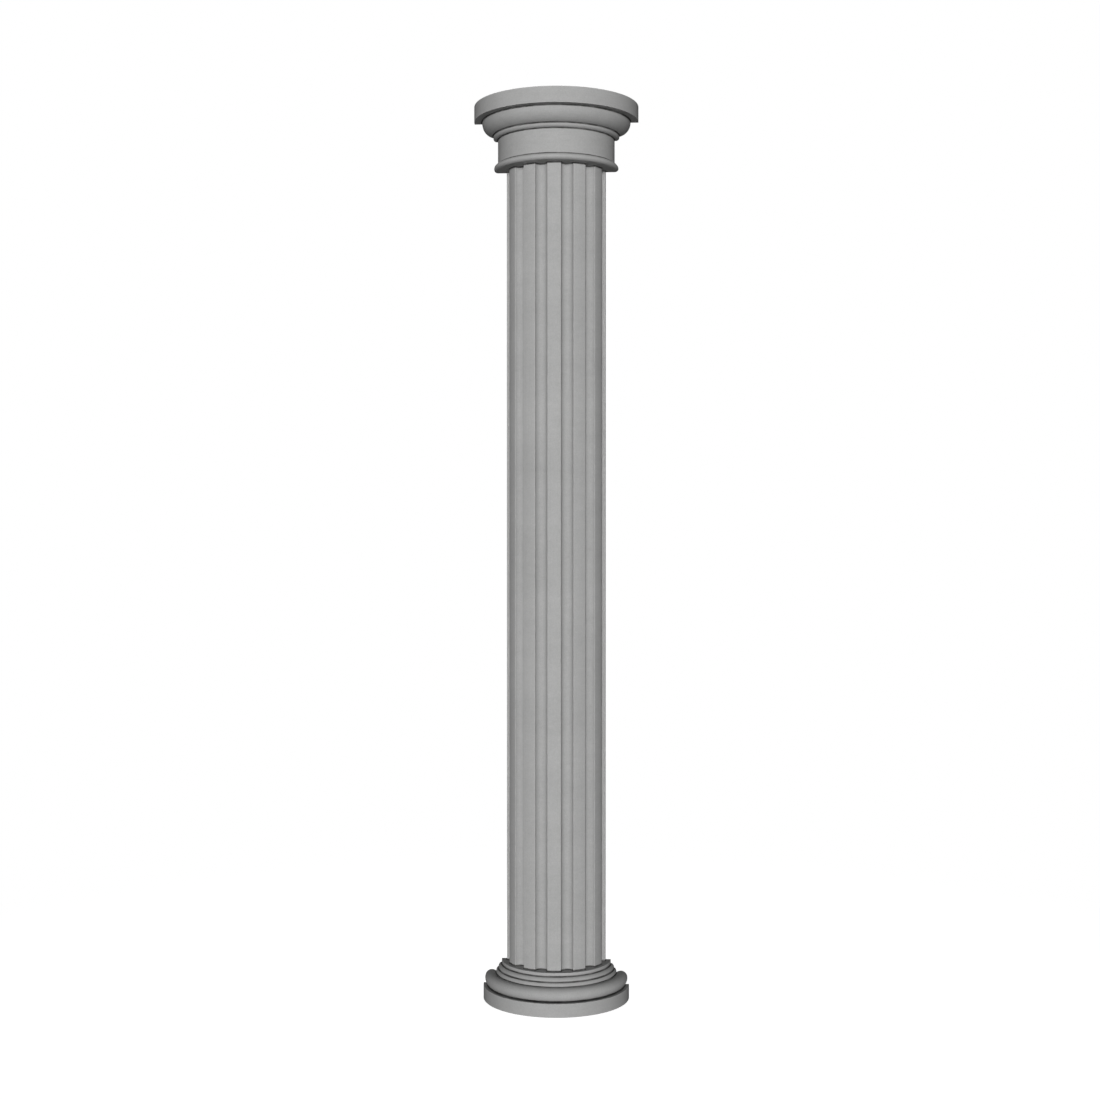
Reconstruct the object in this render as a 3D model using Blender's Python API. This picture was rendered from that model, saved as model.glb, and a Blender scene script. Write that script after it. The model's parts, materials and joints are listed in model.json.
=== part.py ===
"""Half-round doric column that stands against a wall, in three stone blocks.

Metres, +Z up. The column faces -Y and its flat back faces +Y. The origin is the middle of the
bottom of the column's box, so the axis that every round part is turned about lies behind it,
in the plane of the back.
"""

import math

import bmesh
import bpy

# Driving dimensions, in metres
HEIGHT = 2.7432
SHAFT_RADIUS = 0.1524
FLUTE_PITCH_DEG = 30.0
FLUTES = 6
FLUTE_RADIUS = SHAFT_RADIUS / 8

PLINTH_RADIUS = 0.2250
PLINTH_HEIGHT = 0.0413
TORUS_RADIUS = 0.02064
TORUS_CENTRE_RADIUS = 0.1993
LOWER_RING_RADIUS = 0.1859
UPPER_RING_RADIUS = 0.1789
FILLET_RADIUS = 0.1684
LOWER_RING_TOP = 0.0920
LOWER_RING_ROUND = 0.0120
UPPER_RING_HEIGHT = 0.0140
FILLET_HEIGHT = 0.0115

NECKING_RADIUS = 0.1795
ASTRAGAL_PROJECTION = 0.0118
ASTRAGAL_HEIGHT = 0.0190
NECKING_HEIGHT = 0.0765
ANNULET_ROUND = 0.0105
ANNULET_CENTRE_RADIUS = 0.1835
ECHINUS_ROUND = 0.0440
ECHINUS_CENTRE_RADIUS = 0.1842
ECHINUS_TOP_ABOVE_NECKING = 0.0555
ABACUS_RADIUS = 0.2525
ABACUS_HEIGHT = 0.0477

BED_GAP = 0.0003

# Faces along half a turn, and along each moulding
TURN_STEPS = 48
TORUS_STEPS = 12
BEAD_STEPS = 10
ECHINUS_STEPS = 8
ROUND_STEPS = 5
LAND_STEPS = 5
FLUTE_STEPS = 12
SHARP_ANGLE_DEG = 28.0

# Heights worked out from the dimensions above
BASE_HEIGHT = LOWER_RING_TOP + UPPER_RING_HEIGHT + FILLET_HEIGHT
CAPITAL_HEIGHT = ASTRAGAL_HEIGHT + NECKING_HEIGHT + ECHINUS_TOP_ABOVE_NECKING + ABACUS_HEIGHT
SHAFT_HEIGHT = HEIGHT - BASE_HEIGHT - CAPITAL_HEIGHT
BACK_Y = ABACUS_RADIUS / 2


def clear_scene():
    for old in list(bpy.data.objects):
        bpy.data.objects.remove(old, do_unlink=True)


def round_points(centre, across, up, first_deg, last_deg, steps):
    """Points of an elliptic arc in a profile, as (radius, height) pairs."""
    points = []
    for step in range(steps + 1):
        angle = math.radians(first_deg + (last_deg - first_deg) * step / steps)
        points.append((centre[0] + across * math.cos(angle), centre[1] + up * math.sin(angle)))
    return points


def base_profile():
    """Outer side of the base from the floor up to the bed of the shaft."""
    torus_centre = (TORUS_CENTRE_RADIUS, PLINTH_HEIGHT + TORUS_RADIUS)
    past_the_top = (TORUS_CENTRE_RADIUS - LOWER_RING_RADIUS) / TORUS_RADIUS
    torus_end_deg = 90 + math.degrees(math.asin(past_the_top))
    lower_ring_centre = (UPPER_RING_RADIUS, LOWER_RING_TOP - LOWER_RING_ROUND)
    upper_ring_centre = (FILLET_RADIUS, LOWER_RING_TOP)
    lower_ring_depth = LOWER_RING_RADIUS - UPPER_RING_RADIUS
    upper_ring_depth = UPPER_RING_RADIUS - FILLET_RADIUS

    profile = [(PLINTH_RADIUS, 0.0), (PLINTH_RADIUS, PLINTH_HEIGHT)]
    profile += round_points(torus_centre, TORUS_RADIUS, TORUS_RADIUS, -90, torus_end_deg, TORUS_STEPS)
    profile += round_points(lower_ring_centre, lower_ring_depth, LOWER_RING_ROUND, 0, 90, ROUND_STEPS)
    profile += round_points(upper_ring_centre, upper_ring_depth, UPPER_RING_HEIGHT, 0, 90, ROUND_STEPS)[1:]
    profile += [(FILLET_RADIUS, BASE_HEIGHT)]
    return profile


def capital_profile():
    """Outer side of the capital from its bed on the shaft up to the top of the abacus."""
    bead_centre = (NECKING_RADIUS, ASTRAGAL_HEIGHT / 2)
    necking_top = ASTRAGAL_HEIGHT + NECKING_HEIGHT
    annulet_centre = (ANNULET_CENTRE_RADIUS, necking_top + ANNULET_ROUND)
    annulet_radius = ANNULET_CENTRE_RADIUS + ANNULET_ROUND
    abacus_bottom = necking_top + ECHINUS_TOP_ABOVE_NECKING
    echinus_centre = (ECHINUS_CENTRE_RADIUS, abacus_bottom)
    echinus_start_deg = -math.degrees(math.acos((annulet_radius - ECHINUS_CENTRE_RADIUS) / ECHINUS_ROUND))

    profile = round_points(bead_centre, ASTRAGAL_PROJECTION, ASTRAGAL_HEIGHT / 2, -90, 90, BEAD_STEPS)
    profile += [(NECKING_RADIUS, necking_top)]
    profile += round_points(annulet_centre, ANNULET_ROUND, ANNULET_ROUND, -90, 0, ROUND_STEPS)
    profile += round_points(echinus_centre, ECHINUS_ROUND, ECHINUS_ROUND, echinus_start_deg, 0, ECHINUS_STEPS)
    profile += [(ABACUS_RADIUS, abacus_bottom), (ABACUS_RADIUS, CAPITAL_HEIGHT)]
    return profile


def shaft_plan():
    """Outline of the shaft from above, from its left back corner round the front to the right one.

    A land stands at the middle of the front and at each pitch from it, and the two lands at the
    back are cut in half by the wall. Each flute is an arc that hangs between two land edges.
    """
    half_chord_deg = math.degrees(math.asin(FLUTE_RADIUS / SHAFT_RADIUS))
    flute_centre = SHAFT_RADIUS * math.cos(math.radians(half_chord_deg))
    plan = []
    land_start = 180.0
    for flute in range(FLUTES):
        middle_deg = 180.0 + FLUTE_PITCH_DEG * (flute + 0.5)
        land_end = middle_deg - half_chord_deg
        for step in range(LAND_STEPS):
            angle = math.radians(land_start + (land_end - land_start) * step / LAND_STEPS)
            plan.append((SHAFT_RADIUS * math.cos(angle), SHAFT_RADIUS * math.sin(angle)))
        middle = math.radians(middle_deg)
        for step in range(FLUTE_STEPS + 1):
            turn = middle - math.pi / 2 - math.pi * step / FLUTE_STEPS
            x = flute_centre * math.cos(middle) + FLUTE_RADIUS * math.cos(turn)
            y = flute_centre * math.sin(middle) + FLUTE_RADIUS * math.sin(turn)
            plan.append((x, y))
        land_start = middle_deg + half_chord_deg
    for step in range(1, LAND_STEPS + 1):
        angle = math.radians(land_start + (360.0 - land_start) * step / LAND_STEPS)
        plan.append((SHAFT_RADIUS * math.cos(angle), SHAFT_RADIUS * math.sin(angle)))
    return plan


def closed_block(name, rows, bottom, material):
    """One closed solid from level rows of points, each row running from left to right round the front."""
    mesh = bpy.data.meshes.new(name)
    bm = bmesh.new()
    levels = [[bm.verts.new(point) for point in row] for row in rows]
    for lower, upper in zip(levels, levels[1:]):
        for step in range(len(lower) - 1):
            bm.faces.new((lower[step], lower[step + 1], upper[step + 1], upper[step]))
    bm.faces.new(list(reversed(levels[0])))
    bm.faces.new(levels[-1])
    bm.faces.new([level[0] for level in levels] + [level[-1] for level in reversed(levels)])
    bm.to_mesh(mesh)
    bm.free()
    mesh.shade_smooth()
    mesh.set_sharp_from_angle(angle=math.radians(SHARP_ANGLE_DEG))
    mesh.materials.append(material)
    block = bpy.data.objects.new(name, mesh)
    block.location = (0.0, BACK_Y, bottom)
    bpy.context.collection.objects.link(block)
    return block


def turned_rows(profile):
    """Carries a profile through half a turn, from the left of the back round the front."""
    rows = []
    for radius, height in profile:
        row = []
        for step in range(TURN_STEPS + 1):
            angle = math.pi + math.pi * step / TURN_STEPS
            row.append((radius * math.cos(angle), radius * math.sin(angle), height))
        rows.append(row)
    return rows


def plan_rows(plan, height):
    return [[(x, y, level) for x, y in plan] for level in (0.0, height)]


def stone(name, grey):
    """Dull, even grey stone."""
    material = bpy.data.materials.new(name)
    material.use_nodes = True
    shader = material.node_tree.nodes["Principled BSDF"]
    shader.inputs["Base Color"].default_value = (grey, grey, grey, 1.0)
    shader.inputs["Roughness"].default_value = 0.8
    shader.inputs["Metallic"].default_value = 0.0
    material.diffuse_color = (grey, grey, grey, 1.0)
    return material


def make_base():
    return closed_block("base", turned_rows(base_profile()), 0.0, stone("base_stone", 0.40))


def make_shaft():
    rows = plan_rows(shaft_plan(), SHAFT_HEIGHT - 2 * BED_GAP)
    return closed_block("shaft", rows, BASE_HEIGHT + BED_GAP, stone("shaft_stone", 0.42))


def make_capital():
    rows = turned_rows(capital_profile())
    return closed_block("capital", rows, HEIGHT - CAPITAL_HEIGHT, stone("capital_stone", 0.41))


clear_scene()
make_base()
make_shaft()
make_capital()
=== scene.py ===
# %% [markdown]
# A doric half column: a base, a fluted shaft and a capital, three blocks of grey stone that stand
# against a wall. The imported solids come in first. They settle where each block is and how large it
# is, so every size below that they hold is read from them, and nothing here moves or resizes them.

import json
import math

import bmesh
import bpy
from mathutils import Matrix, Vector
from mathutils.bvhtree import BVHTree
from mathutils.kdtree import KDTree


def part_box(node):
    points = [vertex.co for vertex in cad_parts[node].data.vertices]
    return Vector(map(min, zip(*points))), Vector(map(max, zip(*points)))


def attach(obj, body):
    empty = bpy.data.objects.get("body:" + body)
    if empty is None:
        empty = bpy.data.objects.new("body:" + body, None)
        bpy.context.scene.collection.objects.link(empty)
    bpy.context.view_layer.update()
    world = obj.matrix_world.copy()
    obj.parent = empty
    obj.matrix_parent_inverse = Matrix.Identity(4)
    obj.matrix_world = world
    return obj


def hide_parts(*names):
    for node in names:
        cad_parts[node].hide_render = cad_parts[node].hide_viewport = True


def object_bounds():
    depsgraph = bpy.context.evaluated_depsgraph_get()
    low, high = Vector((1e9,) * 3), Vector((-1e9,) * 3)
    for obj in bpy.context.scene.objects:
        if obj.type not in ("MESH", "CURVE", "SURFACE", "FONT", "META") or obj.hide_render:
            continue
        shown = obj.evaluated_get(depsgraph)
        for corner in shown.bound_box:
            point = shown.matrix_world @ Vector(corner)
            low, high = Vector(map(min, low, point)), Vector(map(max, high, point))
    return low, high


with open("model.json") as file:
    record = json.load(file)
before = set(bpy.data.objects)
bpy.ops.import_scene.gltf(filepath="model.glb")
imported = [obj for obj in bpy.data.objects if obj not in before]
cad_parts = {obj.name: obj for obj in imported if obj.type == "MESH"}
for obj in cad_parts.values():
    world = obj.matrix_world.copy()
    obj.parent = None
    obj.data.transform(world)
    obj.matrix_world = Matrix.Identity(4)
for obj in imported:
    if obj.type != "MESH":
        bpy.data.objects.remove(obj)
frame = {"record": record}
solids_lowest, solids_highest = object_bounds()
print("the solids fill", [round(side, 4) for side in solids_highest - solids_lowest], "metres")

# %% Sizes read from the solids
# The column faces -Y. All its round parts are turned about one upright axis, and that axis lies in
# the plane of the flat back, so a solid's half width is its largest radius.
BACK_Y = solids_highest.y
HEIGHT = solids_highest.z
PLINTH_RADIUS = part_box("base")[1].x
BASE_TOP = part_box("base")[1].z
SHAFT_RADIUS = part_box("shaft")[1].x
SHAFT_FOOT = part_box("shaft")[0].z
SHAFT_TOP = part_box("shaft")[1].z
ABACUS_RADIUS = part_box("capital")[1].x
CAPITAL_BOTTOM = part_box("capital")[0].z
print("the base ends at", round(BASE_TOP, 4), "and the capital starts at", round(CAPITAL_BOTTOM, 4))

# %% [markdown]
# The picture is drawn in true perspective from about five metres away, a little to the right of the
# column and half way up it. The camera stands there and looks slightly left and down, which puts the
# column where the picture has it. A lens shift would keep the upright lines a third of a pixel
# straighter, but every other view of the column would keep the shift too and crop its top.

# %% Camera
EYE_DISTANCE = 5.0
EYE_RIGHT = 0.218
EYE_HEIGHT = 1.4374
LEFT_DEG = 2.72
DOWN_DEG = 0.628
LENS = 53.04

camera = bpy.data.objects.new("camera", bpy.data.cameras.new("camera"))
camera.location = (EYE_RIGHT, BACK_Y - EYE_DISTANCE, EYE_HEIGHT)
camera.rotation_euler = (math.radians(90 - DOWN_DEG), 0.0, math.radians(LEFT_DEG))
camera.data.lens = LENS
bpy.context.scene.collection.objects.link(camera)
bpy.context.scene.camera = camera
print("camera at", [round(value, 3) for value in camera.location])

# %% [markdown]
# The light is plain and soft. One tall softbox stands far behind the camera, with its middle a
# little above the top of the column, so that a face is as bright as it looks towards the viewer, the
# round parts darken evenly to both sides, and little light reaches up under the abacus. It is a
# narrow strip, because a wide box would draw a dark half shadow into each flute beside its arris. A
# far light behind the column and two weak ones beside it show its other sides. They stand about
# half as high as the column, so that the tops of the mouldings stay dark. A small light straight
# above shows the top bed, and the abacus keeps it off all that is below. The power of each light is
# worked out from its distance, so that its brightness can be given as what a white card would show.

# %% Softbox helper
LIGHT_AIM = Vector((0.0, BACK_Y, HEIGHT / 2))


def softbox(name, azimuth_deg, distance, height, size, brightness, aim=LIGHT_AIM):
    """A soft light, wide and tall as its size says. At brightness 1 a white card at its aim is white."""
    azimuth = math.radians(azimuth_deg)
    lamp = bpy.data.lights.new(name, "AREA")
    light = bpy.data.objects.new(name, lamp)
    light.location = (distance * math.sin(azimuth), BACK_Y - distance * math.cos(azimuth), height)
    throw = aim - light.location
    light.rotation_euler = throw.to_track_quat("-Z", "Y").to_euler()
    lamp.shape = "RECTANGLE"
    lamp.size, lamp.size_y = size
    # a card at the aim gets watts / (pi * throw squared), and if it is white it returns a pi-th of that
    lamp.energy = brightness * math.pi ** 2 * throw.length_squared
    light.visible_camera = False
    bpy.context.scene.collection.objects.link(light)
    print(name, round(lamp.energy), "W")
    return light


print("the lights aim at", [round(value, 3) for value in LIGHT_AIM])

# %% Softboxes
FILL_AZIMUTH_DEG = 104.0
TOP_LIGHT_RISE = 2.2

softbox("key_light", azimuth_deg=-0.2, distance=16.0, height=2.9, size=(1.2, 4.6), brightness=0.90)
back_light = softbox(
    "back_light",
    azimuth_deg=180.0,
    distance=24.0,
    height=1.4,
    size=(6.0, 2.4),
    brightness=0.6,
)
back_light.visible_glossy = False     # it would shine on the tops of the mouldings at a grazing angle
for name, azimuth_deg in (("left_fill", -FILL_AZIMUTH_DEG), ("right_fill", FILL_AZIMUTH_DEG)):
    softbox(name, azimuth_deg, distance=5.0, height=1.6, size=(2.0, 2.0), brightness=0.06)
softbox(
    "top_light",
    azimuth_deg=0.0,
    distance=0.10,
    height=HEIGHT + TOP_LIGHT_RISE,
    size=(0.3, 0.3),
    brightness=0.5,
    aim=Vector((0.0, 0.0, HEIGHT)),
)

# %% [markdown]
# The backdrop, the floor and the stone are all painted by trees of nodes. A few small helpers keep
# the code that builds them short: one adds a node, two feed its sockets, and the rest stand for a
# step of arithmetic each.

# %% Helpers for node trees
NODE_SPACING = 180     # on screen, if the tree is opened in Blender


def add(tree, kind, **settings):
    """Adds a node, sets its properties, and lays it to the right of the ones before it."""
    node = tree.nodes.new(kind)
    node.location.x = NODE_SPACING * len(tree.nodes)
    for name, value in settings.items():
        setattr(node, name, value)
    return node


def feed(tree, socket, value):
    """Gives a socket what another node puts out, or a plain value."""
    if isinstance(value, bpy.types.NodeSocket):
        tree.links.new(value, socket)
    else:
        socket.default_value = value


def feed_all(tree, node, **values):
    """Feeds a node's inputs by name, with underscores for the spaces in a name."""
    for label, value in values.items():
        feed(tree, node.inputs[label.replace("_", " ")], value)
    return node.outputs


def calc(tree, operation, *values):
    """One step of arithmetic."""
    node = add(tree, "ShaderNodeMath", operation=operation)
    for socket, value in zip(node.inputs, values):
        feed(tree, socket, value)
    return node.outputs["Value"]


def total(tree, first, *more):
    """All the values added up."""
    for value in more:
        first = calc(tree, "ADD", first, value)
    return first


def product(tree, first, *more):
    """All the values multiplied."""
    for value in more:
        first = calc(tree, "MULTIPLY", first, value)
    return first


def rise(tree, value, low, high, start=0.0, end=1.0):
    """A smooth change from start to end as the value goes from low to high."""
    node = add(tree, "ShaderNodeMapRange", interpolation_type="SMOOTHSTEP")
    ends = {"From_Min": low, "From_Max": high, "To_Min": start, "To_Max": end}
    return feed_all(tree, node, Value=value, **ends)["Result"]


def object_place(tree):
    """Where a point is on the piece, in metres."""
    return add(tree, "ShaderNodeTexCoord").outputs["Object"]


print("helpers", [helper.__name__ for helper in (add, feed, feed_all, calc, total, product, rise)])

# %% [markdown]
# The backdrop of the picture is bare white. Here the world is white where the camera looks at it,
# and only a faint grey glow on the stone, because a white world would fill the shadows under the
# mouldings. Light Path tells the two kinds of ray apart. The standard view keeps a grey as it is.

# %% White world
SKY_GLOW = 0.055

world = bpy.data.worlds.new("white_world")
world.use_nodes = True
sky = world.node_tree.nodes["Background"]
sky.inputs["Color"].default_value = (1.0, 1.0, 1.0, 1.0)
seen = add(world.node_tree, "ShaderNodeLightPath").outputs["Is Camera Ray"]
feed(world.node_tree, sky.inputs["Strength"], calc(world.node_tree, "MAXIMUM", seen, SKY_GLOW))
bpy.context.scene.world = world
bpy.context.scene.view_settings.view_transform = "Standard"
print("the world glows at", SKY_GLOW, "on the stone")

# %% [markdown]
# The floor is a wide pale sheet. Near the column it is white paint with a glow of its own, so that
# it takes a soft shadow round the foot. Further off the paint fades out and the glow alone is as
# white as the world, so the two meet without a line. Paint close under a far lamp would also be many
# times brighter than white, and would eat into the edges of the stone that is seen against it. The
# stone doesn't see the floor, so no light bounces up under the mouldings.

# %% Floor
FLOOR_HALF = 40.0
FLOOR_WHITE = 0.9
GLOW_NEAR, GLOW_FAR = 0.80, 1.0
FADE_FROM, FADE_TO = 0.4, 2.5

floor_mesh = bpy.data.meshes.new("floor")
corners = [(-1, -1), (1, -1), (1, 1), (-1, 1)]
floor_mesh.from_pydata([(x * FLOOR_HALF, y * FLOOR_HALF, 0.0) for x, y in corners], [], [(0, 1, 2, 3)])
floor = bpy.data.objects.new("floor", floor_mesh)
floor.visible_diffuse = False
floor.visible_glossy = False
bpy.context.scene.collection.objects.link(floor)

floor_paint = bpy.data.materials.new("floor_paint")
floor_paint.use_nodes = True
tree = floor_paint.node_tree
paint = tree.nodes["Principled BSDF"]
paint.inputs["Roughness"].default_value = 1.0
paint.inputs["Specular IOR Level"].default_value = 0.0
paint.inputs["Emission Color"].default_value = (1.0, 1.0, 1.0, 1.0)
reach = add(tree, "ShaderNodeVectorMath", operation="LENGTH")
feed(tree, reach.inputs["Vector"], object_place(tree))
away = reach.outputs["Value"]
feed(tree, paint.inputs["Emission Strength"], rise(tree, away, FADE_FROM, FADE_TO, GLOW_NEAR, GLOW_FAR))
feed(tree, paint.inputs["Base Color"], rise(tree, away, FADE_FROM, FADE_TO, FLOOR_WHITE, 0.0))
floor_mesh.materials.append(floor_paint)
print("floor", 2 * FLOOR_HALF, "metres square")

# %% [markdown]
# The stone is a fine, even, grey limestone, dressed smooth and left matt. Several small effects
# make it stone and not plaster: soft clouds of tone, sand-sized grain, a few open pits, the marks
# of the last rubbing, paler worn arrises, and saw marks on the faces that are hidden once it is
# built in. Two more are painted shade: dark in the creases, at the joints and under the overhangs,
# and a darker film in the flutes and on the faces that look up. Each effect is a node group with
# its amounts as inputs, built once and placed in the stone of all three blocks.

# %% Helpers for shader groups
NOISE_MIDDLE = 0.5
NOISE_GAIN = 4.0     # noise strays by about a quarter, so this makes it a swing of about one


def shader_group(name, inputs, outputs):
    """Starts a node group. Returns its tree, the values that come in, and the sockets to fill."""
    tree = bpy.data.node_groups.new(name, "ShaderNodeTree")
    for label, value in inputs.items():
        kind = "NodeSocketVector" if isinstance(value, tuple) else "NodeSocketFloat"
        tree.interface.new_socket(name=label, in_out="INPUT", socket_type=kind).default_value = value
    for label in outputs:
        tree.interface.new_socket(name=label, in_out="OUTPUT", socket_type="NodeSocketFloat")
    return tree, add(tree, "NodeGroupInput").outputs, add(tree, "NodeGroupOutput").inputs


def place(tree, group, **values):
    """Places a group in a material with its own values, and returns what it puts out."""
    return feed_all(tree, add(tree, "ShaderNodeGroup", node_tree=group), **values)


def stretch(tree, vector, by):
    """A position with each part multiplied, which sets the size of a pattern along each axis."""
    node = add(tree, "ShaderNodeVectorMath", operation="MULTIPLY")
    feed(tree, node.inputs[0], vector)
    feed(tree, node.inputs[1], by)
    return node.outputs["Vector"]


def noise(tree, vector, scale, detail=2.0, roughness=0.5):
    """Soft noise about 0.5."""
    node = add(tree, "ShaderNodeTexNoise", noise_dimensions="3D")
    return feed_all(tree, node, Vector=vector, Scale=scale, Detail=detail, Roughness=roughness)["Fac"]


def swing(tree, value, amount):
    """Turns noise about 0.5 into a tone about 1 that swings by the amount."""
    about_zero = calc(tree, "SUBTRACT", value, NOISE_MIDDLE)
    return total(tree, product(tree, about_zero, NOISE_GAIN, amount), 1.0)


def own_mask(tree, name):
    """A value that the mesh code has stored on the piece."""
    return add(tree, "ShaderNodeAttribute", attribute_name=name).outputs["Fac"]


print("node groups so far", len(bpy.data.node_groups))

# %% [markdown]
# Clouding. A block of limestone is never one grey. The tone drifts over a hand's breadth or two,
# and the drifts lie flatter than they are high, because the stone was laid down in level beds.

# %% Clouding group
CLOUD_FLATTENING = (1.0, 1.0, 2.2)

cloud_inputs = {"Seed": (0.0, 0.0, 0.0), "Cloud Size": 0.2, "Amount": 0.05}
clouding, given, made = shader_group("Clouding", cloud_inputs, ["Tone"])
shifted = add(clouding, "ShaderNodeVectorMath", operation="ADD")
feed(clouding, shifted.inputs[0], object_place(clouding))
feed(clouding, shifted.inputs[1], given["Seed"])
beds = stretch(clouding, shifted.outputs["Vector"], CLOUD_FLATTENING)
clouds_per_metre = calc(clouding, "DIVIDE", 1.0, given["Cloud Size"])
drifts = noise(clouding, beds, clouds_per_metre, detail=4.0, roughness=0.55)
feed(clouding, made["Tone"], swing(clouding, drifts, given["Amount"]))
print("clouding has", len(clouding.nodes), "nodes")

# %% [markdown]
# Grain. Close to, the surface is packed grains of lime the size of sand. Two noises are mixed, one
# at the size of a grain and one three times coarser, for the tone and for the roughness to the touch.

# %% Grain group
COARSER = 1 / 3

grain, given, made = shader_group("Grain", {"Grain Size": 0.0015, "Amount": 0.08}, ["Tone", "Height"])
per_metre = calc(grain, "DIVIDE", 1.0, given["Grain Size"])
fine = noise(grain, object_place(grain), per_metre, detail=1.0)
coarse = noise(grain, object_place(grain), product(grain, per_metre, COARSER), detail=2.0)
both = product(grain, total(grain, fine, coarse), 0.5)
feed(grain, made["Tone"], swing(grain, both, given["Amount"]))
feed(grain, made["Height"], both)
print("grain has", len(grain.nodes), "nodes")

# %% [markdown]
# Pits. Here and there a shell or a soft grain has fallen out and left a small open pit. Voronoi
# cells give each pit its place, and each cell's own random colour says whether it has a pit at all
# and how large. A little noise, added to the place first, keeps the pits from being round, and they
# are drawn out level, as the beds of the stone are.

# %% Pits group
PIT_FLATTENING = (1.0, 1.0, 1.7)
PIT_UNEVENNESS = 0.0012
PIT_EDGE_DETAIL = 700.0
SMALLEST_PIT = 0.35     # share of the pit radius
PIT_FLOOR = 0.45        # share of a pit that is flat, inside its sloping rim

pit_inputs = {"Spacing": 0.006, "Pit Radius": 0.0008, "Share": 0.2}
pits, given, made = shader_group("Pits", pit_inputs, ["Mask"])
wander = add(pits, "ShaderNodeTexNoise", noise_dimensions="3D")
wander = feed_all(pits, wander, Vector=object_place(pits), Scale=PIT_EDGE_DETAIL, Detail=1.0)["Color"]
uneven = add(pits, "ShaderNodeVectorMath", operation="MULTIPLY_ADD")
for socket, value in zip(uneven.inputs, (wander, (PIT_UNEVENNESS,) * 3, object_place(pits))):
    feed(pits, socket, value)
flat = stretch(pits, uneven.outputs["Vector"], PIT_FLATTENING)
cells = add(pits, "ShaderNodeTexVoronoi", voronoi_dimensions="3D", feature="F1")
cells = feed_all(pits, cells, Vector=flat, Scale=calc(pits, "DIVIDE", 1.0, given["Spacing"]))
chance = feed_all(pits, add(pits, "ShaderNodeSeparateColor"), Color=cells["Color"])
has_pit = calc(pits, "LESS_THAN", chance["Red"], given["Share"])
size = product(pits, given["Pit Radius"], total(pits, chance["Green"], SMALLEST_PIT))
away = product(pits, cells["Distance"], given["Spacing"])
inside = rise(pits, calc(pits, "DIVIDE", away, size), 1.0, PIT_FLOOR)
feed(pits, made["Mask"], product(pits, inside, has_pit))
print("pits has", len(pits.nodes), "nodes")

# %% [markdown]
# Rubbing marks. The mason finishes with a rubbing stone, drawn round the mouldings and up and down
# the flutes. The same group serves both: a material hands it a place that is squeezed along the
# stroke, and the noise there comes out as long faint streaks.

# %% Rubbing group
rubbing_inputs = {"Stroke Place": (0.0, 0.0, 0.0), "Amount": 0.02}
rubbing, given, made = shader_group("Rubbing", rubbing_inputs, ["Tone", "Height"])
streaks = noise(rubbing, given["Stroke Place"], 1.0, detail=3.0, roughness=0.6)
feed(rubbing, made["Tone"], swing(rubbing, streaks, given["Amount"]))
feed(rubbing, made["Height"], streaks)
print("rubbing has", len(rubbing.nodes), "nodes")

# %% [markdown]
# Worn arrises and painted shade in the creases. An arris is an outward corner: it loses its skin
# first and shows paler stone. The creases, the joints and the undersides of the overhangs are
# painted dark, as painted shade, which is what makes the mouldings read from a distance. The mesh
# code further down stores how near each point is to an arris and how occluded it is, and noise
# breaks up the edges of both. The flutes and the open tops of the mouldings don't count as
# occluded. They only take a thin film of painted shade, which grows with how hollow or how level
# the stone is there.

# %% Worn arris group
WEAR_PATCHES_PER_METRE = 55.0
WEAR_PATCH_RANGE = (0.35, 0.65)     # of the noise, from the least wear to the full
LEAST_WEAR = 0.35
WEAR_STARTS = 0.25

wear, given, made = shader_group("Worn arris", {"Amount": 0.5}, ["Mask"])
patches = noise(wear, object_place(wear), WEAR_PATCHES_PER_METRE, detail=3.0)
patchy = rise(wear, patches, *WEAR_PATCH_RANGE, start=LEAST_WEAR)
near_arris = rise(wear, own_mask(wear, "arris"), WEAR_STARTS, 1.0)
feed(wear, made["Mask"], product(wear, near_arris, patchy, given["Amount"]))
print("worn arris has", len(wear.nodes), "nodes")

# %% Painted shade groups, for the creases and for the hollows and tops
SHADE_PATCHES_PER_METRE = 30.0
SHADE_PATCH_RANGE = (0.3, 0.7)
LEAST_SHADE = 0.7

# painted shade: the mask of creases, joints and overhangs darkens the stone, broken up by noise
crease_shade, given, made = shader_group("Crease shade", {"Amount": 0.7, "Starts": 0.15, "Full": 0.4}, ["Mask"])
patches = noise(crease_shade, object_place(crease_shade), SHADE_PATCHES_PER_METRE, detail=3.0)
patchy = rise(crease_shade, patches, *SHADE_PATCH_RANGE, start=LEAST_SHADE)
occluded = rise(crease_shade, own_mask(crease_shade, "occlusion"), given["Starts"], given["Full"])
feed(crease_shade, made["Mask"], product(crease_shade, occluded, patchy, given["Amount"]))

# painted shade: a darker film in the flutes and on the faces that look up
hollow_shade, given, made = shader_group("Hollow shade", {"Amount": 0.25}, ["Tone"])
hollow_darkening = product(hollow_shade, own_mask(hollow_shade, "hollow_shade"), given["Amount"])
feed(hollow_shade, made["Tone"], calc(hollow_shade, "SUBTRACT", 1.0, hollow_darkening))
print("dust and grime have", len(crease_shade.nodes), "and", len(hollow_shade.nodes), "nodes")

# %% [markdown]
# Saw marks. The back, the underside and the top stay as the frame saw left them, because they are
# hidden once the column is built in: straight, nearly even lines a few millimetres apart, with a
# little drift. They run up the back and across the two ends.

# %% Saw marks group
SAW_DRIFT = 0.012
SAW_DRIFT_SCALE = 6.0
SAW_DRIFT_STRETCH = (1.0, 1.0, 0.2)
SAW_TEAR_STRETCH = (260.0, 260.0, 9.0)
SAW_SLANT = 0.3
SAW_TONE = 0.03

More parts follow.
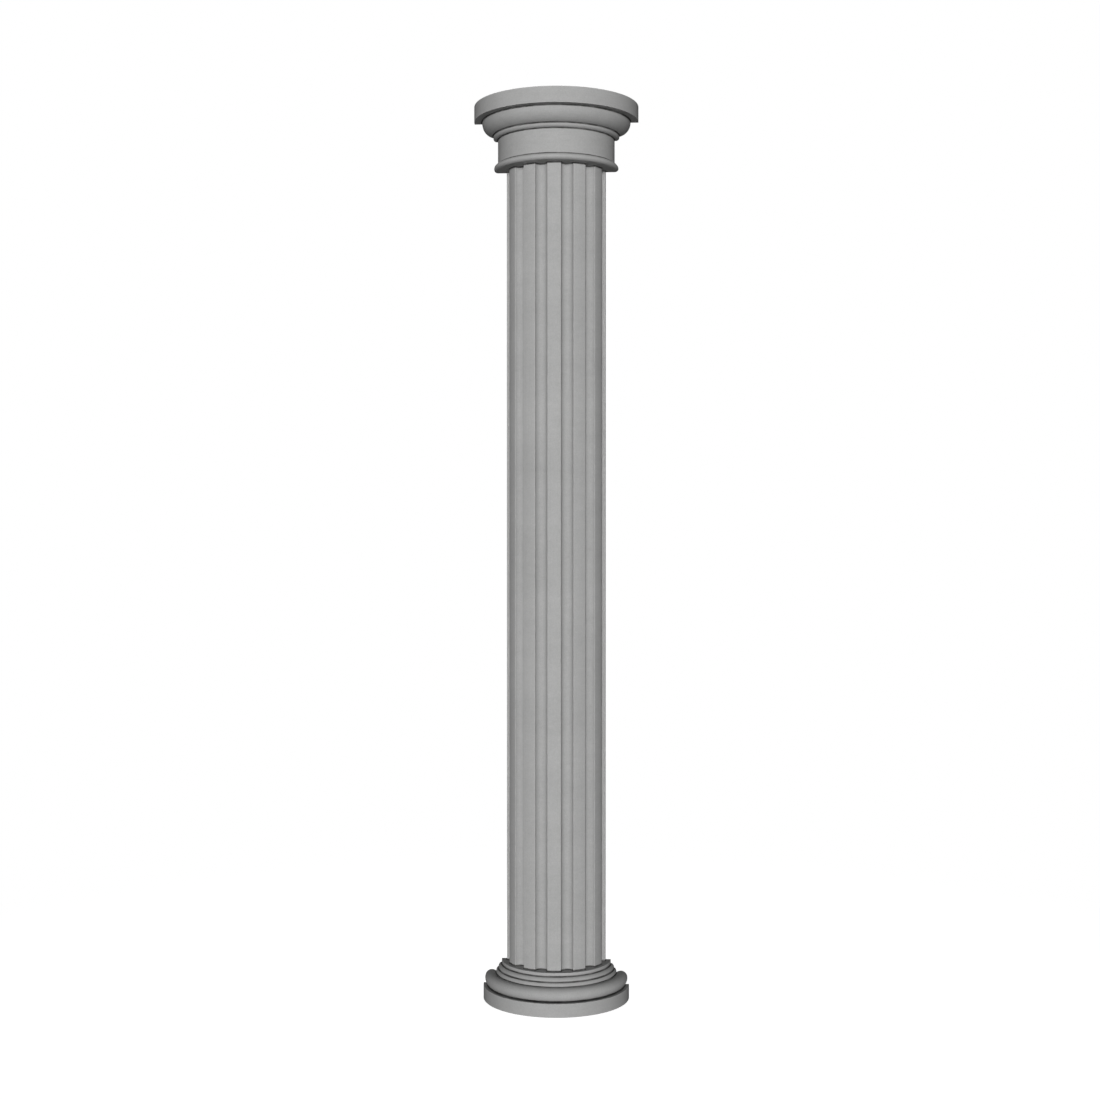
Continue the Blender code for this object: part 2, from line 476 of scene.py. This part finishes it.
sawing, given, made = shader_group("Saw marks", {"Line Spacing": 0.006}, ["Mask", "Tone", "Height"])
parts = feed_all(sawing, add(sawing, "ShaderNodeSeparateXYZ"), Vector=object_place(sawing))
slow = stretch(sawing, object_place(sawing), SAW_DRIFT_STRETCH)
drift = product(sawing, noise(sawing, slow, SAW_DRIFT_SCALE), SAW_DRIFT)
across = total(sawing, parts["X"], drift, product(sawing, parts["Y"], SAW_SLANT))
strokes = product(sawing, calc(sawing, "DIVIDE", across, given["Line Spacing"]), math.tau)
wave = product(sawing, total(sawing, calc(sawing, "SINE", strokes), 1.0), 0.5)
broken = noise(sawing, stretch(sawing, object_place(sawing), SAW_TEAR_STRETCH), 1.0, detail=3.0)
lines = product(sawing, total(sawing, wave, broken, broken), 1 / 3)
feed(sawing, made["Mask"], own_mask(sawing, "sawn"))
feed(sawing, made["Tone"], swing(sawing, lines, SAW_TONE))
feed(sawing, made["Height"], lines)
print("saw marks have", len(sawing.nodes), "nodes")

# %% [markdown]
# One function mixes the effects into a material. The colour starts as the block's grey, and each
# mask then lays its own colour over it. The heights, in millimetres, are added up for one Bump node.
# The Principled shader, which the export reads, stays in the material itself.

# %% Colours, relief and roughness of the stone
WORN_GREY = (0.53, 0.53, 0.525, 1.0)
# the darkest grey is painted shade, laid in the creases, at the joints and under the overhangs
CREASE_SHADE_GREY = (0.045, 0.044, 0.042, 1.0)
PIT_GREY = (0.20, 0.198, 0.195, 1.0)
BLUE_SHARE = 0.992     # the stone is a trace warmer than a plain grey
MILLIMETRE = 0.001
GRAIN_RELIEF, PIT_DEPTH, STROKE_RELIEF, SAW_RELIEF = 0.16, 0.30, 0.11, 0.45     # millimetres
FRESH_ROUGHNESS, WORN_ROUGHNESS, SAWN_ROUGHNESS = 0.82, 0.68, 0.95
SHINE = 0.2
GREYS = {entry["slot"]: entry["base_color"][0] for entry in frame["record"]["materials"]}
print("greys of the record", {slot: round(grey, 3) for slot, grey in GREYS.items()})

# %% Stone material
def lay_over(tree, mask, under, over, blend="MIX"):
    """Lays one colour over another where the mask is white."""
    # this node has sockets for numbers and vectors too, under the same names: 6, 7 and 2 are the colours
    node = add(tree, "ShaderNodeMix", data_type="RGBA", blend_type=blend)
    feed(tree, node.inputs["Factor"], mask)
    feed(tree, node.inputs[6], under)
    feed(tree, node.inputs[7], over)
    return node.outputs[2]


def stone(name, seed, strokes, hollow_shade_amount):
    """Dressed limestone of the grey that the record gives. Strokes says where its rubbing marks run."""
    grey = GREYS[name]
    material = bpy.data.materials.new(name)
    material.use_nodes = True
    tree = material.node_tree
    shader = tree.nodes["Principled BSDF"]
    cloud = place(tree, clouding, Seed=seed, Cloud_Size=0.24, Amount=0.05)
    mottle = place(tree, clouding, Seed=seed, Cloud_Size=0.030, Amount=0.028)
    sand = place(tree, grain, Grain_Size=0.0013, Amount=0.11)
    pit = place(tree, pits, Spacing=0.0055, Pit_Radius=0.0007, Share=0.20)
    stroke = place(tree, rubbing, Stroke_Place=strokes(tree), Amount=0.028)
    # painted shade in the flutes and on the tops
    hollow_darkening = place(tree, hollow_shade, Amount=hollow_shade_amount)
    saw = place(tree, sawing, Line_Spacing=0.006)
    dressed = calc(tree, "SUBTRACT", 1.0, saw["Mask"])
    worn = product(tree, place(tree, wear, Amount=0.55)["Mask"], dressed)
    # painted shade in the creases, at the joints and under the overhangs
    crease_shaded = product(tree, place(tree, crease_shade, Amount=0.95, Starts=0.12, Full=0.38)["Mask"], dressed)

    finish = add(tree, "ShaderNodeMix", data_type="FLOAT")
    finish = feed_all(tree, finish, Factor=saw["Mask"], A=stroke["Tone"], B=saw["Tone"])["Result"]
    tone = product(tree, cloud["Tone"], mottle["Tone"], sand["Tone"], finish, hollow_darkening["Tone"])
    colour = lay_over(tree, 1.0, (grey, grey, grey * BLUE_SHARE, 1.0), tone, "MULTIPLY")
    colour = lay_over(tree, worn, colour, WORN_GREY)
    colour = lay_over(tree, pit["Mask"], colour, PIT_GREY)
    colour = lay_over(tree, crease_shaded, colour, CREASE_SHADE_GREY)
    feed(tree, shader.inputs["Base Color"], colour)

    smoother = product(tree, worn, WORN_ROUGHNESS - FRESH_ROUGHNESS)
    rougher = product(tree, saw["Mask"], SAWN_ROUGHNESS - FRESH_ROUGHNESS)
    feed(tree, shader.inputs["Roughness"], total(tree, FRESH_ROUGHNESS, smoother, rougher))

    relief = total(
        tree,
        product(tree, sand["Height"], GRAIN_RELIEF),
        product(tree, pit["Mask"], -PIT_DEPTH),
        product(tree, stroke["Height"], dressed, STROKE_RELIEF),
        product(tree, saw["Height"], saw["Mask"], SAW_RELIEF),
    )
    bump = add(tree, "ShaderNodeBump")
    bump.inputs["Distance"].default_value = MILLIMETRE
    feed(tree, bump.inputs["Height"], relief)
    feed(tree, shader.inputs["Normal"], bump.outputs["Normal"])
    shader.inputs["Specular IOR Level"].default_value = SHINE
    return material


effects = (clouding, grain, pits, rubbing, wear, crease_shade, hollow_shade, sawing)
print("a stone mixes", [effect.name for effect in effects])

# %% [markdown]
# The strokes go round the turned blocks and up the shaft. For the turned blocks the place is given
# as radius and height about the column's axis, with the turn all but left out. On the shaft the
# height is all but left out instead.

# %% Strokes, and the three stones
STROKE_FINENESS = 420.0     # how closely the strokes lie, across them and along them
STROKES_PER_METRE = 7.0
STROKES_PER_TURN = 3.5


def strokes_round(tree):
    """Radius, height and a little of the turn about the column's axis."""
    parts = feed_all(tree, add(tree, "ShaderNodeSeparateXYZ"), Vector=object_place(tree))
    forward = calc(tree, "SUBTRACT", parts["Y"], BACK_Y)
    squares = total(tree, product(tree, parts["X"], parts["X"]), product(tree, forward, forward))
    radius = product(tree, calc(tree, "SQRT", squares), STROKE_FINENESS)
    level = product(tree, parts["Z"], STROKE_FINENESS)
    turn = product(tree, calc(tree, "ARCTAN2", parts["X"], forward), STROKES_PER_TURN)
    return feed_all(tree, add(tree, "ShaderNodeCombineXYZ"), X=radius, Y=level, Z=turn)["Vector"]


def strokes_upright(tree):
    """Width and depth, and a little of the height."""
    return stretch(tree, object_place(tree), (STROKE_FINENESS, STROKE_FINENESS, STROKES_PER_METRE))


# the last value of each stone sets how dark its painted shade in the hollows and on the tops is
base_stone = stone("base_stone", seed=(0.3, 1.7, 0.2), strokes=strokes_round, hollow_shade_amount=0.30)
shaft_stone = stone("shaft_stone", seed=(2.1, 0.4, 1.3), strokes=strokes_upright, hollow_shade_amount=0.25)
capital_stone = stone("capital_stone", seed=(4.6, 2.2, 0.9), strokes=strokes_round, hollow_shade_amount=0.10)
print("stones", [m.name for m in (base_stone, shaft_stone, capital_stone)])

# %% [markdown]
# The base and the capital are mouldings run round half a circle. On paper a moulding is a list of
# straight runs and arcs, so the profile is written that way, from the bottom up, as radius and
# height. Turning it through half a circle gives the outer skin, and three flat faces close the
# block: two beds and the back. Rows of points are used instead of the Screw modifier, because the
# first and last row then close the back exactly. A bed that the shaft touches belongs to the profile
# until it is past the flutes, so that it has points enough to hold the painted shade beside the
# joint.

# %% Helpers for profiles
PROFILE_STEP = 0.0015
RUN_STEP = 1.2 * PROFILE_STEP
SAME_POINT = PROFILE_STEP / 20
FEWEST_ARC_STEPS = 4


def arc(centre, across, up, first_deg, last_deg):
    """Points along an elliptic arc of a profile, as (radius, height)."""
    length = math.radians(abs(last_deg - first_deg)) * max(across, up)
    steps = max(FEWEST_ARC_STEPS, math.ceil(length / PROFILE_STEP))
    turns = [math.radians(first_deg + (last_deg - first_deg) * step / steps) for step in range(steps + 1)]
    return [(centre[0] + across * math.cos(turn), centre[1] + up * math.sin(turn)) for turn in turns]


def even_runs(points):
    """Adds points along the straight runs, and drops a point that repeats the one before."""
    spaced = [points[0]]
    for point in points[1:]:
        start = spaced[-1]
        length = math.dist(start, point)
        if length < SAME_POINT:
            continue
        steps = math.ceil(length / RUN_STEP)
        shares = [step / steps for step in range(1, steps + 1)]
        spaced += [tuple(a + (b - a) * share for a, b in zip(start, point)) for share in shares]
    return spaced


print("a quarter round of 10 mm gets", len(arc((0.0, 0.0), 0.010, 0.010, 0, 90)), "points")

# %% Helper for turned blocks
HALF_TURN_STEPS = 180
BED_RADIUS = 0.8 * SHAFT_RADIUS     # the flutes reach in to 0.87 of the shaft's radius


def turned_block(name, profile, bottom, material):
    """One closed block: a profile turned through half a circle, two beds and a flat back."""
    bm = bmesh.new()
    levels = []
    for radius, height in even_runs(profile):
        turns = [math.pi + math.pi * step / HALF_TURN_STEPS for step in range(HALF_TURN_STEPS + 1)]
        plan = [(radius * math.cos(turn), BACK_Y + radius * math.sin(turn)) for turn in turns]
        levels.append([bm.verts.new((x, y, bottom + height)) for x, y in plan])
    for lower, upper in zip(levels, levels[1:]):
        for step in range(HALF_TURN_STEPS):
            bm.faces.new((lower[step], lower[step + 1], upper[step + 1], upper[step]))
    bm.faces.new(list(reversed(levels[0])))
    bm.faces.new(levels[-1])
    bm.faces.new([level[0] for level in levels] + [level[-1] for level in reversed(levels)])
    mesh = bpy.data.meshes.new(name)
    bm.to_mesh(mesh)
    bm.free()
    mesh.materials.append(material)
    block = bpy.data.objects.new(name, mesh)
    bpy.context.scene.collection.objects.link(block)
    print(name, "profile has", len(levels), "points")
    return block


print("the facets of a turned block are", 180 / HALF_TURN_STEPS, "degrees wide")

# %% [markdown]
# The base, from the floor up: a round plinth, a torus, two thin rings rounded at the top, and a
# fillet that carries the shaft. The torus touches the plinth along one line, and the wedge of
# shadow beside that line is the darkest in the base.

# %% Base
PLINTH_HEIGHT = 0.0413
TORUS_RADIUS = 0.02064
TORUS_CENTRE_RADIUS = 0.1993
LOWER_RING_RADIUS = 0.1859
UPPER_RING_RADIUS = 0.1789
FILLET_RADIUS = 0.1684
LOWER_RING_TOP = 0.0920
LOWER_RING_ROUND = 0.0120
UPPER_RING_HEIGHT = 0.0140

torus_centre = (TORUS_CENTRE_RADIUS, PLINTH_HEIGHT + TORUS_RADIUS)
torus_end_deg = 90 + math.degrees(math.asin((TORUS_CENTRE_RADIUS - LOWER_RING_RADIUS) / TORUS_RADIUS))
lower_ring_centre = (UPPER_RING_RADIUS, LOWER_RING_TOP - LOWER_RING_ROUND)
upper_ring_centre = (FILLET_RADIUS, LOWER_RING_TOP)
base_profile = [(PLINTH_RADIUS, 0.0), (PLINTH_RADIUS, PLINTH_HEIGHT)]
base_profile += arc(torus_centre, TORUS_RADIUS, TORUS_RADIUS, -90, torus_end_deg)
base_profile += arc(lower_ring_centre, LOWER_RING_RADIUS - UPPER_RING_RADIUS, LOWER_RING_ROUND, 0, 90)
base_profile += arc(upper_ring_centre, UPPER_RING_RADIUS - FILLET_RADIUS, UPPER_RING_HEIGHT, 0, 90)
base_profile += [(FILLET_RADIUS, BASE_TOP), (BED_RADIUS, BASE_TOP)]
base_block = turned_block("base_block", base_profile, 0.0, base_stone)

# %% [markdown]
# The shaft follows one rule. Its plan is a single piece, half a land, a flute and half a land,
# repeated at every pitch round the half circle. A flute is a half circle hung between two arrises.
# Geometry Nodes draw that piece once from three arcs, stand a copy at each pitch, join the copies
# and the line of the back into one outline, and sweep it up the height of the shaft. A shaft with
# more or fewer flutes then needs only a new number and pitch, and no modelling. The rows of points
# lie close together near both ends, where the painted shade of the joints is, and far apart between.

# %% Fluted shaft: what its tree takes in, and helpers
fluting = bpy.data.node_groups.new("Fluted shaft", "GeometryNodeTree")
SHAFT_INPUTS = {
    "Shaft Radius": ("NodeSocketFloat", SHAFT_RADIUS),
    "Shaft Height": ("NodeSocketFloat", SHAFT_TOP - SHAFT_FOOT),
    "Flutes": ("NodeSocketInt", 6),
    "Pitch": ("NodeSocketFloat", math.radians(30.0)),
    "Flute Radius": ("NodeSocketFloat", SHAFT_RADIUS / 8),
    "Flute Steps": ("NodeSocketInt", 28),
    "Land Steps": ("NodeSocketInt", 7),
    "Rows": ("NodeSocketInt", 81),
    "Place": ("NodeSocketVector", (0.0, BACK_Y, SHAFT_FOOT)),
    "Stone": ("NodeSocketMaterial", shaft_stone),
}
for label, (kind, value) in SHAFT_INPUTS.items():
    fluting.interface.new_socket(name=label, in_out="INPUT", socket_type=kind)
fluting.interface.new_socket(name="Geometry", in_out="OUTPUT", socket_type="NodeSocketGeometry")
given = add(fluting, "NodeGroupInput").outputs


def shape(kind, inputs, **settings):
    """Adds a geometry node with these inputs and returns what it puts out first."""
    node = add(fluting, kind, **settings)
    for label, value in inputs.items():
        feed(fluting, node.inputs[label], value)
    return node.outputs[0]


def joined(*parts):
    """Curves or meshes joined into one."""
    node = add(fluting, "GeometryNodeJoinGeometry")
    for part in parts:
        fluting.links.new(part, node.inputs[0])
    return node.outputs[0]


def point(x, y, z):
    """A position, or a turn, from its three parts."""
    return shape("ShaderNodeCombineXYZ", {"X": x, "Y": y, "Z": z})


def plan_arc(steps, radius, start, sweep):
    """An arc about the middle of the plan, cut into steps."""
    inputs = {"Radius": radius, "Start Angle": start, "Sweep Angle": sweep}
    inputs["Resolution"] = calc(fluting, "ADD", steps, 1)
    return shape("GeometryNodeCurveArc", inputs, mode="RADIUS")


print("the shaft's tree takes", ", ".join(SHAFT_INPUTS))

# %% Fluted shaft: half a land, a flute and half a land
half_pitch = calc(fluting, "DIVIDE", given["Pitch"], 2.0)
half_flute_sine = calc(fluting, "DIVIDE", given["Flute Radius"], given["Shaft Radius"])
half_flute = calc(fluting, "ARCSINE", half_flute_sine)
land_sweep = calc(fluting, "SUBTRACT", half_pitch, half_flute)
land_start = calc(fluting, "MULTIPLY", half_pitch, -1.0)
land_before = plan_arc(given["Land Steps"], given["Shaft Radius"], land_start, land_sweep)
land_after = plan_arc(given["Land Steps"], given["Shaft Radius"], half_flute, land_sweep)
flute = plan_arc(given["Flute Steps"], given["Flute Radius"], -math.pi / 2, -math.pi)
flute_middle = calc(fluting, "MULTIPLY", given["Shaft Radius"], calc(fluting, "COSINE", half_flute))
flute = shape("GeometryNodeTransform", {"Geometry": flute, "Translation": point(flute_middle, 0.0, 0.0)})
print("one piece of the plan takes", len(fluting.nodes), "nodes")

# %% Fluted shaft: the whole plan
CLOSE_GAPS = 0.00005

number = add(fluting, "GeometryNodeInputIndex").outputs[0]
turn = calc(fluting, "MULTIPLY", calc(fluting, "ADD", number, 0.5), given["Pitch"])
turn = calc(fluting, "ADD", turn, math.pi)
pitches = shape("GeometryNodePoints", {"Count": given["Flutes"]})
copies = shape("GeometryNodeInstanceOnPoints", {
    "Points": pitches,
    "Instance": joined(land_before, flute, land_after),
    "Rotation": point(0.0, 0.0, turn),
})
back_line = shape("GeometryNodeCurvePrimitiveLine", {
    "Start": point(given["Shaft Radius"], 0.0, 0.0),
    "End": point(calc(fluting, "MULTIPLY", given["Shaft Radius"], -1.0), 0.0, 0.0),
})
pieces_of_plan = joined(shape("GeometryNodeRealizeInstances", {"Geometry": copies}), back_line)
lines_of_plan = shape("GeometryNodeCurveToMesh", {"Curve": pieces_of_plan})
closed_lines = shape("GeometryNodeMergeByDistance", {"Geometry": lines_of_plan, "Distance": CLOSE_GAPS})
plan = shape("GeometryNodeMeshToCurve", {"Mesh": closed_lines})
print("with the whole plan the tree has", len(fluting.nodes), "nodes")

# %% Fluted shaft: the sweep up its height
upright = shape("GeometryNodeCurvePrimitiveLine", {"End": point(0.0, 0.0, given["Shaft Height"])})
upright = shape("GeometryNodeResampleCurve", {"Curve": upright, "Count": given["Rows"]}, mode="COUNT")
share = calc(fluting, "DIVIDE", number, calc(fluting, "SUBTRACT", given["Rows"], 1))
fall = calc(fluting, "SUBTRACT", 1.0, calc(fluting, "COSINE", calc(fluting, "MULTIPLY", share, math.pi)))
row_height = calc(fluting, "MULTIPLY", calc(fluting, "MULTIPLY", fall, 0.5), given["Shaft Height"])
upright = shape("GeometryNodeSetPosition", {"Geometry": upright, "Position": point(0.0, 0.0, row_height)})
swept = shape("GeometryNodeCurveToMesh", {"Curve": upright, "Profile Curve": plan, "Fill Caps": True})
standing = shape("GeometryNodeTransform", {"Geometry": swept, "Translation": given["Place"]})
realized = shape("GeometryNodeRealizeInstances", {"Geometry": standing})
coated = shape("GeometryNodeSetMaterial", {"Geometry": realized, "Material": given["Stone"]})
feed(fluting, add(fluting, "NodeGroupOutput").inputs["Geometry"], coated)
print("the shaft's tree has", len(fluting.nodes), "nodes")

# %% Fluted shaft: the tree made a plain mesh
def evaluated_mesh(block):
    """Turns what the modifiers show into a plain mesh."""
    seen_now = bpy.context.evaluated_depsgraph_get()
    return bpy.data.meshes.new_from_object(block.evaluated_get(seen_now), depsgraph=seen_now)


shaft_block = bpy.data.objects.new("shaft_block", bpy.data.meshes.new("shaft_block"))
modifier = shaft_block.modifiers.new("fluting", "NODES")
modifier.node_group = fluting
for item in fluting.interface.items_tree:
    if item.in_out == "INPUT":
        modifier[item.identifier] = SHAFT_INPUTS[item.name][1]
bpy.context.scene.collection.objects.link(shaft_block)
swept_mesh = evaluated_mesh(shaft_block)
shaft_block.modifiers.clear()
shaft_block.data = swept_mesh
print("shaft plan", len(swept_mesh.vertices) // SHAFT_INPUTS["Rows"][1], "points")

# %% [markdown]
# The capital, from its bed on the shaft up: a half-round bead called the astragal, the plain
# necking, a thin ring called the annulet, the quarter-round echinus that swells out like a cushion,
# and the round slab of the abacus. The echinus is a true quarter circle, cut a little short where
# the annulet hides it.

# %% Capital
NECKING_RADIUS = 0.1795
ASTRAGAL_PROJECTION = 0.0118
ASTRAGAL_HEIGHT = 0.0190
NECKING_HEIGHT = 0.0765
ANNULET_ROUND = 0.0105
ANNULET_CENTRE_RADIUS = 0.1835
ECHINUS_ROUND = 0.0440
ECHINUS_CENTRE_RADIUS = 0.1842
ECHINUS_TOP_ABOVE_NECKING = 0.0555

necking_top = ASTRAGAL_HEIGHT + NECKING_HEIGHT
abacus_bottom = necking_top + ECHINUS_TOP_ABOVE_NECKING
annulet_nose = ANNULET_CENTRE_RADIUS + ANNULET_ROUND
echinus_start_deg = -math.degrees(math.acos((annulet_nose - ECHINUS_CENTRE_RADIUS) / ECHINUS_ROUND))
astragal_centre = (NECKING_RADIUS, ASTRAGAL_HEIGHT / 2)
annulet_centre = (ANNULET_CENTRE_RADIUS, necking_top + ANNULET_ROUND)
echinus_centre = (ECHINUS_CENTRE_RADIUS, abacus_bottom)
capital_profile = [(BED_RADIUS, 0.0)]
capital_profile += arc(astragal_centre, ASTRAGAL_PROJECTION, ASTRAGAL_HEIGHT / 2, -90, 90)
capital_profile += [(NECKING_RADIUS, necking_top)]
capital_profile += arc(annulet_centre, ANNULET_ROUND, ANNULET_ROUND, -90, 0)
capital_profile += arc(echinus_centre, ECHINUS_ROUND, ECHINUS_ROUND, echinus_start_deg, 0)
capital_profile += [(ABACUS_RADIUS, abacus_bottom), (ABACUS_RADIUS, HEIGHT - CAPITAL_BOTTOM)]
capital_block = turned_block("capital_block", capital_profile, CAPITAL_BOTTOM, capital_stone)

# %% [markdown]
# Every block is now finished the same way, whatever made its mesh. Its outward corners are found
# from the angle between faces and eased by a millimetre, as a mason does with a stroke of the
# rubbing stone, so that they catch a thin line of light. The back was sawn last, so its edges stay
# crisp, and so do the rims of the shaft, where it stands on the base and carries the capital. The
# inward corners and those rims are kept in mind as creases, where painted shade is laid.

# %% Helpers for spots along edges
SPOT_SPACING = 0.0012


def search_tree(spots):
    """Finds the nearest of many spots quickly."""
    tree = KDTree(len(spots))
    for number, spot in enumerate(spots):
        tree.insert(spot, number)
    tree.balance()
    return tree


def spots_along(edge):
    """Points set closely along an edge."""
    start, end = (vert.co for vert in edge.verts)
    steps = max(1, math.ceil((end - start).length / SPOT_SPACING))
    return [start.lerp(end, step / steps) for step in range(steps + 1)]


print("spots along an edge lie", SPOT_SPACING * 1000, "mm apart")

# %% Ease the arrises
CORNER_DEG = 32.0
EASE = 0.0011
EASE_SEGMENTS = 3
LEVEL_WITHIN = 0.0004


def ease_arrises(block, crisp_levels=()):
    """Eases the outward corners, and returns points along them and along the creases."""
    arris_spots, crease_spots = [], []
    bm = bmesh.new()
    bm.from_mesh(block.data)
    ease = bm.edges.layers.float.new("bevel_weight_edge")
    for edge in bm.edges:
        start, end = (vert.co for vert in edge.verts)
        on_joint = any(abs(start.z - level) + abs(end.z - level) < LEVEL_WITHIN for level in crisp_levels)
        bend_deg = math.degrees(edge.calc_face_angle_signed(0.0))
        if bend_deg < -CORNER_DEG or (on_joint and bend_deg > CORNER_DEG):
            crease_spots += spots_along(edge)
        elif bend_deg > CORNER_DEG:
            arris_spots += spots_along(edge)
            edge[ease] = float(min(start.y, end.y) < BACK_Y - LEVEL_WITHIN)
    bm.to_mesh(block.data)
    bm.free()

    easing = block.modifiers.new("easing", "BEVEL")
    easing.width = EASE
    easing.segments = EASE_SEGMENTS
    easing.limit_method = "WEIGHT"
    easing.use_clamp_overlap = False
    mesh = evaluated_mesh(block)
    block.modifiers.clear()
    block.data = mesh
    print(block.name, "has", len(arris_spots), "spots on arrises and", len(crease_spots), "in creases")
    return arris_spots, crease_spots


blocks = [base_block, shaft_block, capital_block]
corners = [ease_arrises(block, crisp_levels=(SHAFT_FOOT, SHAFT_TOP)) for block in blocks]
arrises = {block: search_tree(arris_spots) for block, (arris_spots, crease_spots) in zip(blocks, corners)}
creases = search_tree([spot for arris_spots, crease_spots in corners for spot in crease_spots])

# %% [markdown]
# The occlusion that the painted shade follows is measured. Each point looks out along nine rays,
# and every ray that meets stone within a finger's breadth adds to its occlusion, the more the
# nearer the stone is. That finds the overhangs, such as the wedge under the torus. A point a few
# millimetres from a crease or a joint counts as occluded too. An ambient occlusion node would do
# much the same while it renders, but a value stored on the mesh stays with the piece when it is
# exported.

# %% Look out from each point
LOOK_LIFT = 0.0002
LOOK_RINGS = ((0.0, 1), (40.0, 4), (68.0, 4))     # tilt from straight out, and how many rays


def looks():
    """The directions in which a point looks out, round +Z."""
    found = []
    for tilt_deg, count in LOOK_RINGS:
        tilt = math.radians(tilt_deg)
        for turn in (math.tau * number / count for number in range(count)):
            sideways = math.sin(tilt)
            found.append(Vector((sideways * math.cos(turn), sideways * math.sin(turn), math.cos(tilt))))
    return found


def stone_around(blocks):
    """The outer faces of some blocks, for rays to meet, without the flat ones of five corners or more."""
    places, faces = [], []
    for block in blocks:
        first = len(places)
        places += [vert.co.copy() for vert in block.data.vertices]
        small = [face.vertices for face in block.data.polygons if len(face.vertices) < 5]
        faces += [[first + number for number in vertices] for vertices in small]
    return BVHTree.FromPolygons(places, faces)


def stone_ahead(around, start, look, reach):
    """How far away the first stone in a direction is, or None where there is none within reach."""
    return around.ray_cast(start, look, reach)[3]


def nearest_spot(spots, position):
    """How far away the nearest spot is."""
    return spots.find(position)[2]


around = stone_around(blocks)
print("each point looks out in", len(looks()), "directions")

# %% Measure the shelter
LOOK_REACH = 0.014
CREASE_REACH = 0.0042


def occlusion_of(mesh, around):
    """How much stone each point has close in front of it, from 0 to 1."""
    directions = looks()
    values = []
    for vert in mesh.vertices:
        turned = vert.normal.to_track_quat("Z", "Y")
        start = vert.co + vert.normal * LOOK_LIFT
        met = [stone_ahead(around, start, turned @ look, LOOK_REACH) for look in directions]
        overhung = sum(1 - far / LOOK_REACH for far in met if far is not None) / len(directions)
        values.append(max(overhung, 1 - nearest_spot(creases, vert.co) / CREASE_REACH))
    return values


occlusions = {block: occlusion_of(block.data, around) for block in blocks}
print("most sheltered points", [round(max(values), 2) for values in occlusions.values()])

# %% [markdown]
# The painted shade in the flutes and on the tops needs a measure of its own. The flutes are too
# wide to be occluded within a finger's breadth, so each point of the shaft looks along a level fan
# of rays that reaches right across a flute, and the share of its outlook that stone fills says how
# hollow its place is. On the base and the capital, this painted shade lies where the stone faces
# up, so there it follows the normal alone.

# %% Measure where the flutes and tops take painted shade
HOLLOW_REACH = 0.045
FAN_HALF_DEG = 87.0
FAN_RAYS = 30


def level_of(mesh):
    """How level the upper side of the stone lies at each point, from 0 on an upright face to 1."""
    return [max(0.0, vert.normal.z) ** 2 for vert in mesh.vertices]


def hollow_of(mesh, around):
    """How much of each point's level outlook is filled by stone, from 0 on a land to half at an arris."""
    turns = [math.radians(FAN_HALF_DEG * (2 * ray / (FAN_RAYS - 1) - 1)) for ray in range(FAN_RAYS)]
    whole = sum(math.cos(turn) for turn in turns)
    values = []
    for vert in mesh.vertices:
        facing = math.atan2(vert.normal.y, vert.normal.x)
        start = vert.co + LOOK_LIFT * Vector((math.cos(facing), math.sin(facing), 0.0))
        blocked = 0.0
        for turn in turns:
            look = Vector((math.cos(facing + turn), math.sin(facing + turn), 0.0))
            if stone_ahead(around, start, look, HOLLOW_REACH) is not None:
                blocked += math.cos(turn)
        values.append(blocked / whole)
    return values


hollow_shades = {block: level_of(block.data) for block in (base_block, capital_block)}
hollow_shades[shaft_block] = hollow_of(shaft_block.data, stone_around([shaft_block]))
print("most hollow point of the shaft", round(max(hollow_shades[shaft_block]), 2))

# %% [markdown]
# The masks go onto the mesh: how near each point is to an arris, how occluded it is, how much
# painted shade it takes in the hollows and on the tops, and which faces are sawn. Weighted normals
# then keep the flat faces flat beside the eased corners.

# %% Mark and smooth the blocks
ARRIS_REACH = 0.0045


def store(mesh, name, domain, values):
    """Stores one value for each point or face of a mesh."""
    mesh.attributes.new(name, "FLOAT", domain).data.foreach_set("value", values)


def mark_and_smooth(block):
    """Stores the masks of a block, smooths its shading and keeps its corners sharp."""
    mesh = block.data
    near = [1 - nearest_spot(arrises[block], vert.co) / ARRIS_REACH for vert in mesh.vertices]
    store(mesh, "arris", "POINT", [max(0.0, value) for value in near])
    # this mask and the next carry painted shade: in the creases, and in the hollows and on the tops
    store(mesh, "occlusion", "POINT", occlusions[block])
    store(mesh, "hollow_shade", "POINT", hollow_shades[block])
    depths = [min(BACK_Y - face.center.y, face.center.z, HEIGHT - face.center.z) for face in mesh.polygons]
    store(mesh, "sawn", "FACE", [float(depth < LEVEL_WITHIN) for depth in depths])

    mesh.shade_smooth()
    mesh.set_sharp_from_angle(angle=math.radians(CORNER_DEG))
    block.modifiers.new("flat_faces_stay_flat", "WEIGHTED_NORMAL").keep_sharp = True
    finished = evaluated_mesh(block)
    block.modifiers.clear()
    block.data = finished
    finished.name = block.name
    print(block.name, "has", sum(len(face.vertices) - 2 for face in finished.polygons), "triangles")


for block in blocks:
    mark_and_smooth(block)

# %% [markdown]
# Each finished block stands for the imported solid of the same name and rides on the one body
# there is. Its stone was named after the slot of the record that it belongs to.

# %% Fit the blocks to the frame
for block, node_name, slot in (
    (base_block, "base", "base_stone"),
    (shaft_block, "shaft", "shaft_stone"),
    (capital_block, "capital", "capital_stone"),
):
    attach(block, "root")
    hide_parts(node_name)
    print(block.name, "stands for", node_name)
